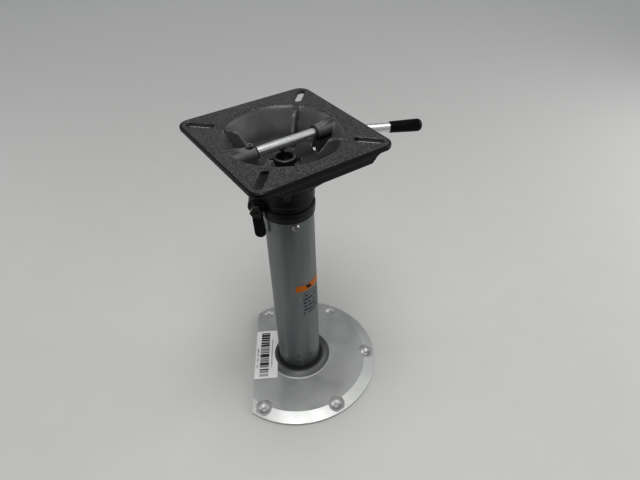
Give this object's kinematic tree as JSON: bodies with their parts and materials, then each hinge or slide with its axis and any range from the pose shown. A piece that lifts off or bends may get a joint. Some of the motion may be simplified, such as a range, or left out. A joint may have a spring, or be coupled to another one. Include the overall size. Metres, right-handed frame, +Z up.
{
  "type": "swivel seat pedestal",
  "caption": "Floor-standing gas-sprung seat pedestal: D-cut round base, telescoping post, clamp collar, and a square seat mount with a bowl and a release lever.",
  "frame": {"origin": "on the post's axis at the underside of the base", "axes": "+Z up along the post; the base's flat faces -X; the seat mount is turned 32.5 degrees about +Z from the base at rest"},
  "size_m": [0.2752, 0.2296, 0.386],
  "materials": {
    "machined_aluminium": "satin turned, fine circular grain",
    "anodised_tube": "satin clear anodised",
    "black_rubber": "matte",
    "turned_aluminium": "turned",
    "steel_rivet": "dull",
    "bush_plastic": "smooth moulded",
    "zinc_steel": "zinc plated",
    "label_film": "printed film with an orange band",
    "sticker_paper": "printed paper with plain bars",
    "black_collar": "smooth moulded",
    "black_steel": "black oxide",
    "black_lever": "semi-gloss",
    "bearing_steel": "ground and polished",
    "cage_plastic": "moulded nylon",
    "hard_chrome": "ground and polished",
    "black_tube_steel": "gloss black",
    "hammertone_casting": "charcoal hammertone powder coat",
    "zinc_rod": "bright zinc plated",
    "vinyl_grip": "dipped vinyl"
  },
  "bodies": {
    "base": {"base_flange": "machined_aluminium", "post_tube": "anodised_tube", "post_seal_ring": "black_rubber", "bottom_cup": "turned_aluminium", "cup_rivets": "steel_rivet", "swivel_bush": "bush_plastic", "bush_screws": "zinc_steel", "post_label": "label_film", "base_sticker": "sticker_paper", "clamp_collar": "black_collar", "clamp_bolt": "black_steel", "clamp_nut": "black_steel", "clamp_washers": "black_steel", "lower_race": "bearing_steel"},
    "bearing_cage": {"ball_cage": "cage_plastic", "bearing_balls": "bearing_steel"},
    "piston": {"piston_rod": "hard_chrome", "piston_head": "turned_aluminium", "piston_seal": "black_rubber", "bump_stop": "black_rubber", "rod_clip": "zinc_steel", "upper_race": "bearing_steel"},
    "seat": {"inner_tube": "anodised_tube", "glide_ring": "bush_plastic", "gas_cylinder": "black_tube_steel", "cylinder_gland": "turned_aluminium", "seat_mount": "hammertone_casting", "hub_nut": "hammertone_casting", "rod_washers": "black_rubber", "boss_screw": "black_steel"},
    "release_pin": {"release_pin": "black_lever"},
    "release_lever": {"release_rod": "zinc_rod", "release_cam": "black_steel", "lever_grip": "vinyl_grip"},
    "clamp_lever": {"clamp_lever": "black_lever"}
  },
  "joints": [
    {"name": "seat_swivel", "type": "hinge", "parent": "base", "child": "piston", "pos_m": [0, 0, 0.0174], "axis": [0, 0, 1], "continuous": true},
    {"name": "cage_spin", "type": "hinge", "parent": "base", "child": "bearing_cage", "pos_m": [0, 0, 0.0132], "axis": [0, 0, 1], "continuous": true},
    {"name": "seat_height", "type": "slide", "parent": "piston", "child": "seat", "axis": [0, 0, 1], "range_m": [0, 0.127]},
    {"name": "release_lever", "type": "hinge", "parent": "seat", "child": "release_lever", "pos_m": [0, 0, 0.3734], "axis": [-0.8434, -0.5373, 0], "range_deg": [0, 18], "stiffness_Nm_per_rad": 0.6, "springref_deg": -6.88},
    {"name": "pin_travel", "type": "slide", "parent": "seat", "child": "release_pin", "axis": [0, 0, -1], "range_m": [0, 0.002]},
    {"name": "clamp_lever_swing", "type": "hinge", "parent": "base", "child": "clamp_lever", "pos_m": [-0.0356, -0.0182, 0.299], "axis": [0, 1, 0], "range_deg": [0, 110]}
  ],
  "couplings": [
    {"joint": "cage_spin", "follows": "seat_swivel", "ratio": 0.5},
    {"joint": "pin_travel", "follows": "release_lever", "m_per_rad": 0.0062}
  ]
}
